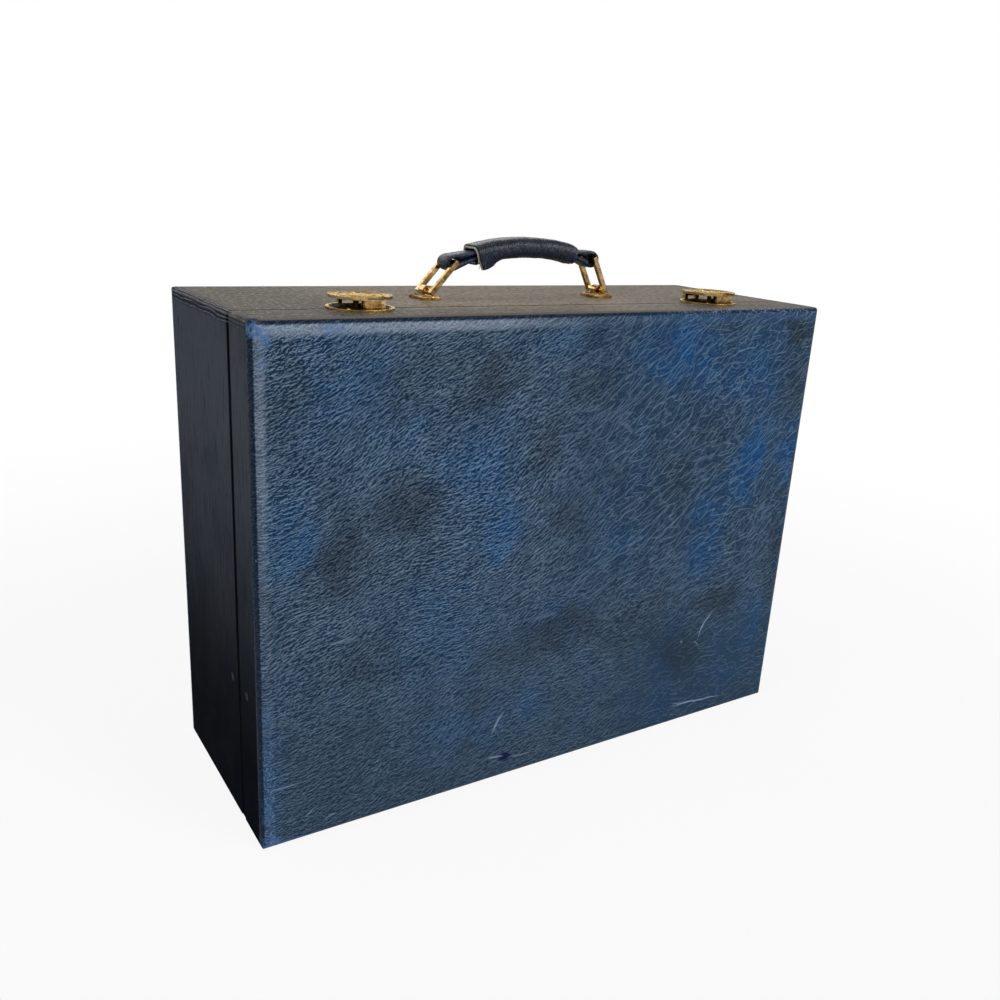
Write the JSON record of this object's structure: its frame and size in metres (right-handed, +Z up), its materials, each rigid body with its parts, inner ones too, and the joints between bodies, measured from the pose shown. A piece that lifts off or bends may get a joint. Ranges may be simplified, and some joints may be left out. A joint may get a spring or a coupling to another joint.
{
  "type": "briefcase",
  "caption": "Upright hard leather briefcase with a shallow front lid, folding lid stays, round hasp locks with sliding catches and a strap handle on rectangular rings.",
  "frame": {"origin": "centre of the case footprint on the floor, below the middle of the closed case", "axes": "+X to the right seen from the lid, +Y from the lid to the back, +Z up to the handle"},
  "size_m": [0.44, 0.164, 0.37],
  "materials": {
    "blue_leather": "pebbled and worn",
    "dark_leather": "smooth semi-gloss",
    "grip_leather": "smooth semi-gloss",
    "board": "raw plywood",
    "lining": "matt woven",
    "brass": "polished and slightly worn",
    "steel": "satin",
    "raw_edge": "frayed"
  },
  "bodies": {
    "base": {"base_board_top": "board", "base_board_bottom": "board", "base_board_left": "board", "base_board_right": "board", "base_board_back": "board", "base_leather_top": "dark_leather", "base_leather_bottom": "dark_leather", "base_leather_left": "dark_leather", "base_leather_right": "dark_leather", "base_leather_back": "blue_leather", "base_lining": "lining", "rim_lip": "brass", "hinge_leaf_base": "brass", "hinge_pin": "steel", "hinge_screws_base": "brass", "stay_rivets_base": "brass", "stay_spacers_base": "brass", "handle_plate_left": "brass", "handle_plate_right": "brass", "handle_rivets": "brass", "lock_plate_base_left": "brass", "lock_plate_base_right": "brass", "lock_rivets_base": "brass", "hasp_pin_left": "steel", "hasp_pin_right": "steel"},
    "lid": {"lid_board_top": "board", "lid_board_bottom": "board", "lid_board_left": "board", "lid_board_right": "board", "lid_board_front": "board", "lid_leather_top": "dark_leather", "lid_leather_bottom": "dark_leather", "lid_leather_left": "dark_leather", "lid_leather_right": "dark_leather", "lid_leather_front": "blue_leather", "lid_lining": "lining", "hinge_leaf_lid": "brass", "hinge_screws_lid": "brass", "stay_rivets_lid": "brass", "stay_spacers_lid": "brass", "lock_plate_lid_left": "brass", "lock_plate_lid_right": "brass", "lock_rivets_lid": "brass"},
    "stay_base_left": {"stay_link_base_left": "brass", "elbow_rivet_left": "brass"},
    "stay_lid_left": {"stay_link_lid_left": "brass"},
    "stay_base_right": {"stay_link_base_right": "brass", "elbow_rivet_right": "brass"},
    "stay_lid_right": {"stay_link_lid_right": "brass"},
    "ring_left": {"ring_left": "brass"},
    "grip": {"grip_strap": "grip_leather", "grip_sleeve": "grip_leather", "grip_edge": "raw_edge"},
    "ring_right": {"ring_right": "brass"},
    "hasp_left": {"hasp_left": "brass"},
    "catch_left": {"catch_left_lock": "brass"},
    "hasp_right": {"hasp_right": "brass"},
    "catch_right": {"catch_right_lock": "brass"}
  },
  "joints": [
    {"name": "lid_hinge", "type": "hinge", "parent": "base", "child": "lid", "pos_m": [0, -0.042, 0.0033], "axis": [1, 0, 0], "range_deg": [0, 95]},
    {"name": "stay_base_left_pivot", "type": "hinge", "parent": "base", "child": "stay_base_left", "pos_m": [-0.21085, -0.028, 0.0973], "axis": [1, 0, 0], "range_deg": [0, 95]},
    {"name": "stay_lid_left_pivot", "type": "hinge", "parent": "lid", "child": "stay_lid_left", "pos_m": [-0.20915, -0.056, 0.0973], "axis": [1, 0, 0], "range_deg": [-95, 0]},
    {"name": "stay_base_right_pivot", "type": "hinge", "parent": "base", "child": "stay_base_right", "pos_m": [0.21085, -0.028, 0.0973], "axis": [1, 0, 0], "range_deg": [0, 95]},
    {"name": "stay_lid_right_pivot", "type": "hinge", "parent": "lid", "child": "stay_lid_right", "pos_m": [0.20915, -0.056, 0.0973], "axis": [1, 0, 0], "range_deg": [-95, 0]},
    {"name": "ring_left_sway", "type": "hinge", "parent": "base", "child": "ring_left", "pos_m": [-0.0749, 0, 0.33516], "axis": [0, 1, 0], "range_deg": [-15, 0]},
    {"name": "grip_sway", "type": "hinge", "parent": "ring_left", "child": "grip", "pos_m": [-0.05817, 0, 0.35374], "axis": [0, 1, 0], "range_deg": [0, 18.6]},
    {"name": "ring_right_sway", "type": "hinge", "parent": "base", "child": "ring_right", "pos_m": [0.0681, 0, 0.33516], "axis": [0, 1, 0], "range_deg": [-14.4, 0]},
    {"name": "hasp_left_flip", "type": "hinge", "parent": "base", "child": "hasp_left", "pos_m": [-0.1405, -0.0238, 0.335], "axis": [-1, 0, 0], "range_deg": [0, 105]},
    {"name": "catch_left_slide", "type": "slide", "parent": "lid", "child": "catch_left", "axis": [-1, 0, 0], "range_m": [0, 0.006]},
    {"name": "hasp_right_flip", "type": "hinge", "parent": "base", "child": "hasp_right", "pos_m": [0.1405, -0.0238, 0.335], "axis": [-1, 0, 0], "range_deg": [0, 105]},
    {"name": "catch_right_slide", "type": "slide", "parent": "lid", "child": "catch_right", "axis": [-1, 0, 0], "range_m": [0, 0.006]}
  ],
  "couplings": [
    {"joint": "stay_base_left_pivot", "follows": "lid_hinge", "ratio": 1},
    {"joint": "stay_lid_left_pivot", "follows": "lid_hinge", "ratio": -1},
    {"joint": "stay_base_right_pivot", "follows": "lid_hinge", "ratio": 1},
    {"joint": "stay_lid_right_pivot", "follows": "lid_hinge", "ratio": -1},
    {"joint": "grip_sway", "follows": "ring_left_sway", "ratio": -1.2397},
    {"joint": "ring_right_sway", "follows": "ring_left_sway", "ratio": 0.9583}
  ]
}
